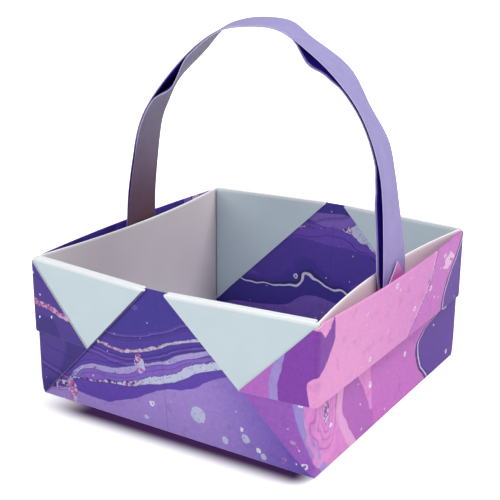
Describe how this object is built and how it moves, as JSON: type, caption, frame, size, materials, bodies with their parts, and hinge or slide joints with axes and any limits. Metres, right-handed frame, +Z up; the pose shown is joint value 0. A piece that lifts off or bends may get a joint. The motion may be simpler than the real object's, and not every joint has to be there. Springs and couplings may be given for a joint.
{
  "type": "origami basket",
  "caption": "Small square basket folded from one marbled paper sheet, with outside collar flaps and a doubled paper strip arched across it as a carrying handle",
  "frame": {"origin": "On the table, at the centre of the basket's square base", "axes": "X runs from the left to the right side wall, which hold the handle's two ends. Y runs from the front to the back. Z is up."},
  "size_m": [0.082, 0.0866, 0.0912],
  "materials": {
    "marbled_paper": "matte",
    "lilac_paper": "matte"
  },
  "bodies": {
    "root": {"folded_basket": "marbled_paper", "handle": "lilac_paper"}
  },
  "joints": []
}
